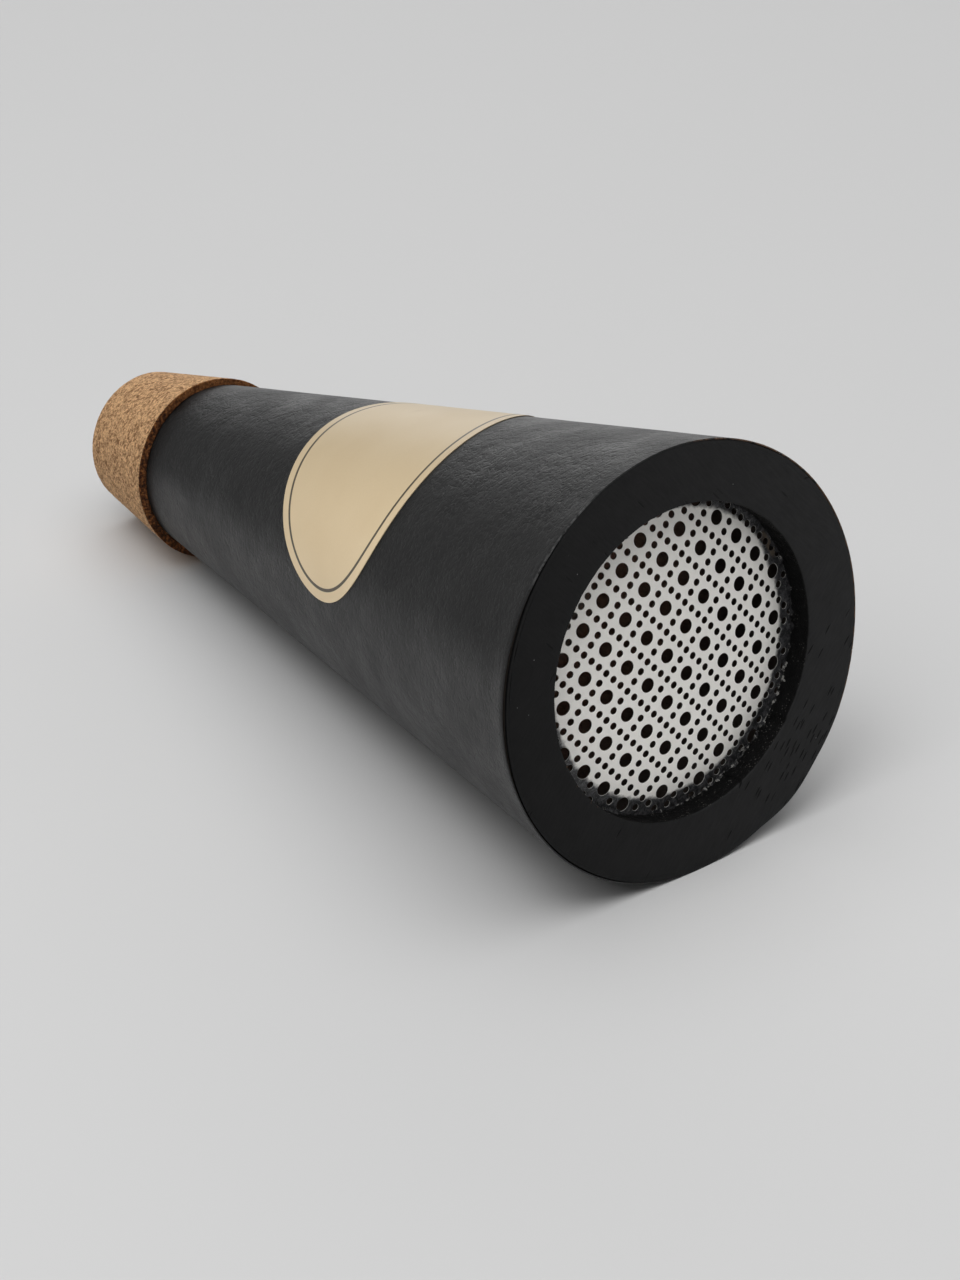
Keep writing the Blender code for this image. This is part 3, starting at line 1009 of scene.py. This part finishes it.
class MUTE_OT_glue(bpy.types.Operator):
    """Run a bead of glue behind the ring and let a torn fringe of it show in front"""

    bl_idname = "mute.glue"
    bl_label = "Glue"

    def execute(self, context):
        ring = context.scene.mute_ring
        grille = context.scene.mute_grille
        finish = glue_finish(context.scene.mute_colours)
        inside = ring.bore + grille.flange + 0.3 * MM
        top = -ring.thickness - 0.32 * MM
        corner = [(inside + 2 * MM, top), (inside, top - 2 * MM), (inside, top)]
        bead = turned(corner, steps=240, rows=(5, 2, 2))
        for vert in bead.verts:
            if vert.co.z < top - 0.1 * MM and off_axis(vert) > inside + 0.05 * MM:
                push_out(vert, -0.35 * MM * abs(wander(vert.co, 4 * MM)))
        add_piece("glue_bead", bead, finish, ["grille_adhesive"])

        bore = ring.bore + 0.15 * MM
        floor = -ring.thickness - 0.3 * MM
        foot = floor - 0.02 * MM
        lip = [(bore, floor + 0.75 * MM), (bore - 0.85 * MM, foot), (bore, foot)]
        fringe = turned(lip, steps=720, rows=(5, 2, 2))
        for vert in fringe.verts:
            radius = off_axis(vert)
            inward = bore - radius
            height = vert.co.z - floor
            ragged = 0.55 + 1.5 * wander(vert.co, 2.2 * MM, octaves=5)
            if inward > 0.05 * MM:
                push_out(vert, inward * (1 - min(1.7, max(0.1, ragged))))
            if height > 0.05 * MM:
                torn = 0.6 + 1.6 * wander(vert.co, 1.4 * MM, seed=5)
                vert.co.z = floor + height * min(1.8, max(0.15, torn))
        add_piece("glue_fringe", fringe, finish)
        return {"FINISHED"}


class MUTE_OT_cork(bpy.types.Operator):
    """Wrap the strip of cork round the small end, its ends skived over each other"""

    bl_idname = "mute.cork"
    bl_label = "Cork collar"

    def execute(self, context):
        cone = context.scene.mute_cone
        cork = context.scene.mute_cork
        front = -cone.length + cork.length
        gap = 0.03 * MM
        section = [
            (cork.front, front),
            (cork.rear, -cone.length),
            (wall_radius(cone, -cone.length) + gap, -cone.length),
            (wall_radius(cone, front) + gap, front),
        ]
        shape = turned(
            section,
            steps=360,
            rows=(40, 3, 6, 4),
            eases=((0, 0.22 * MM), (1, cork.rounding), (3, 0.4 * MM)),
            parting=cork.seam,
            skive=cork.skive,
            slit=0.12 * MM,
        )
        for vert in shape.verts:
            radius = off_axis(vert)
            if radius > wall_radius(cone, vert.co.z) + 0.4 * MM:
                crumbs = wander(vert.co, 1.3 * MM, octaves=2) + 0.8 * wander(vert.co, 12 * MM, seed=3)
                push_out(vert, 0.05 * MM * (crumbs - 0.6))
                ahead = (vert.co.z + cone.length) / cork.length
                push_out(vert, -cork.thinner * ahead * swell(vert, 140, 75))
            if vert.co.z > front - 0.3 * MM:
                vert.co.z += 0.12 * MM * wander(vert.co, 2.5 * MM, seed=9)
                vert.co.z += 0.10 * MM * wander(vert.co, 0.8 * MM, seed=2, octaves=2)
        finish = cork_finish(context.scene.mute_colours, cork, cone)
        add_piece("cork_band", shape, finish, ["cork_collar"])
        return {"FINISHED"}


class MUTE_OT_felt(bpy.types.Operator):
    """Line the narrow end with a sleeve of felt"""

    bl_idname = "mute.felt"
    bl_label = "Felt sleeve"

    def execute(self, context):
        cone = context.scene.mute_cone
        felt = context.scene.mute_felt
        depth = cone.cover + cone.glue + cone.board + 0.1 * MM
        rear = -cone.length + felt.inset
        section = wall_section(cone, rear + felt.length, rear, depth, felt.wall + 0.2 * MM)
        shape = turned(
            section,
            steps=200,
            rows=(8, 6, 90, 6),
            eases=((2, 0.8 * MM), (3, 0.8 * MM)),
        )
        for vert in shape.verts:
            if off_axis(vert) < wall_radius(cone, vert.co.z, depth + 0.3 * MM):
                push_out(vert, 0.28 * MM * wander(vert.co, 3.2 * MM, octaves=4))
                vert.co.z += 0.15 * MM * wander(vert.co, 2.6 * MM, seed=6, octaves=4)
        finish = felt_finish(context.scene.mute_colours)
        add_piece("felt_sleeve", shape, finish, ["damping_sleeve"])
        return {"FINISHED"}


def on_oval(vert, label):
    """Where a corner of the two-wide grid comes to lie on the flat oval."""
    sweep = vert.co.x * pi / 2
    return sin(sweep) * label.width / 2, cos(sweep) * vert.co.y * label.height / 2


class MUTE_OT_label(bpy.types.Operator):
    """Cut the oval label and wrap it on the cover"""

    bl_idname = "mute.label"
    bl_label = "Paper label"

    def execute(self, context):
        cone = context.scene.mute_cone
        label = context.scene.mute_label
        half_angle = atan((cone.rim - cone.tip) / cone.length)
        apex = cone.rim / sin(half_angle)
        middle = apex - label.from_rim / cos(half_angle)
        shape = bmesh.new()
        bmesh.ops.create_grid(shape, x_segments=96, y_segments=48, size=1)
        layer = shape.loops.layers.uv.new("unrolled")
        for face in shape.faces:
            for loop in face.loops:
                loop[layer].uv = on_oval(loop.vert, label)
        rise = 0.5
        bmesh.ops.solidify(shape, geom=shape.faces[:], thickness=-rise)
        bmesh.ops.recalc_face_normals(shape, faces=shape.faces)
        for vert in shape.verts:
            across, along = on_oval(vert, label)
            spot = Matrix.Rotation(label.turn, 2) @ Vector((across, along))
            away = hypot(spot.x, middle + spot.y)
            bearing = label.bearing + atan2(spot.x, middle + spot.y) / sin(half_angle)
            z = (away - apex) * cos(half_angle)
            lift = 0.03 * MM + (label.sheet if vert.co.z > rise / 2 else 0.0)
            lift += 0.02 * MM * (1 + wander((across, along, 0), 9 * MM))
            radius = wall_radius(cone, z) + lift / cos(half_angle)
            vert.co = (radius * cos(bearing), radius * sin(bearing), z)
        bmesh.ops.remove_doubles(shape, verts=shape.verts, dist=0.002 * MM)
        bmesh.ops.recalc_face_normals(shape, faces=shape.faces)
        finish = label_finish(context.scene.mute_colours, label)
        add_piece("oval_label", shape, finish, ["label_oval"], sharp=50)
        return {"FINISHED"}


class MUTE_OT_stage(bpy.types.Operator):
    """Lay the pale floor, light it softly and set up the camera"""

    bl_idname = "mute.stage"
    bl_label = "Stage"

    def execute(self, context):
        scene = context.scene
        shape = bmesh.new()
        bmesh.ops.create_grid(shape, x_segments=1, y_segments=1, size=6)
        mesh = bpy.data.meshes.new("floor")
        shape.to_mesh(mesh)
        shape.free()
        mesh.materials.append(floor_finish(scene.mute_colours))
        floor = bpy.data.objects.new("floor", mesh)
        scene.collection.objects.link(floor)

        scene.world = pale_room()
        add_lamp("softbox", (0.253, -0.816, 1.233), size=1.0, power=7.3)

        lens = bpy.data.cameras.new("camera")
        lens.sensor_fit = "VERTICAL"
        lens.sensor_height = 36
        lens.lens = 93.66
        lens.clip_start = 0.01
        camera = bpy.data.objects.new("camera", lens)
        camera.location = (0.52534, -0.38493, 0.38315)
        gaze = Vector((-0.68378, 0.53133, -0.50014))
        camera.rotation_euler = gaze.to_track_quat("-Z", "Y").to_euler()
        scene.collection.objects.link(camera)
        scene.camera = camera
        scene.view_settings.view_transform = "Standard"
        return {"FINISHED"}


def add_lamp(name, place, size, power):
    """A square soft light aimed at the floor under the mute's middle."""
    lamp = bpy.data.lights.new(name, "AREA")
    lamp.size = size
    lamp.energy = power
    holder = bpy.data.objects.new(name, lamp)
    holder.location = place
    aim = -Vector(place)
    holder.rotation_euler = aim.to_track_quat("-Z", "Y").to_euler()
    bpy.context.scene.collection.objects.link(holder)


PIECES = (
    MUTE_OT_cover,
    MUTE_OT_board,
    MUTE_OT_ring,
    MUTE_OT_grille,
    MUTE_OT_glue,
    MUTE_OT_cork,
    MUTE_OT_felt,
    MUTE_OT_label,
    MUTE_OT_stage,
)


class MUTE_PT_pieces(bpy.types.Panel):
    """Lists the mute's pieces and sizes"""

    bl_idname = "MUTE_PT_pieces"
    bl_label = "Trumpet mute"
    bl_space_type = "VIEW_3D"
    bl_region_type = "UI"
    bl_category = "Mute"

    def draw(self, context):
        for operator in PIECES:
            self.layout.operator(operator.bl_idname)
        for group in SETTINGS:
            box = self.layout.box()
            settings = getattr(context.scene, group)
            for name in settings.__annotations__:
                box.prop(settings, name)


def register():
    for group, settings in SETTINGS.items():
        bpy.utils.register_class(settings)
        setattr(bpy.types.Scene, group, bpy.props.PointerProperty(type=settings))
    for operator in PIECES:
        bpy.utils.register_class(operator)
    bpy.utils.register_class(MUTE_PT_pieces)


def unregister():
    bpy.utils.unregister_class(MUTE_PT_pieces)
    for operator in reversed(PIECES):
        bpy.utils.unregister_class(operator)
    for group, settings in SETTINGS.items():
        delattr(bpy.types.Scene, group)
        bpy.utils.unregister_class(settings)


def main():
    register()
    for operator in PIECES:
        getattr(bpy.ops.mute, operator.bl_idname.split(".")[1])()


if __name__ == "__main__":
    main()
